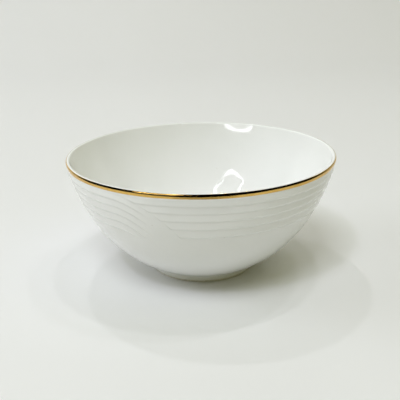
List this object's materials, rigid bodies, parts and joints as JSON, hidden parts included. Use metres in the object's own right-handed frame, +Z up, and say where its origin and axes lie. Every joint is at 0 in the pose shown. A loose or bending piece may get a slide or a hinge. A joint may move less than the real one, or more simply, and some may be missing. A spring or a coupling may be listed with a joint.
{
  "type": "serving bowl",
  "caption": "Deep round footed porcelain serving bowl with stepped relief round the outside and a gold line on the lip.",
  "frame": {"origin": "middle of the foot's standing edge, on the surface that the bowl stands on", "axes": "+Z up along the bowl's axis; -Y towards the viewer, +X to the viewer's right"},
  "size_m": [0.1804, 0.1804, 0.0805],
  "materials": {
    "porcelain": "matt biscuit",
    "bare_foot": "matt, unglazed edge",
    "glaze": "glossy white glaze",
    "gold": "bright fired gold"
  },
  "bodies": {
    "root": {"bowl_body": "porcelain", "foot_ring": "bare_foot", "inside_glaze": "glaze", "outside_glaze": "glaze", "base_glaze": "glaze", "gold_rim_band": "gold"}
  },
  "joints": []
}
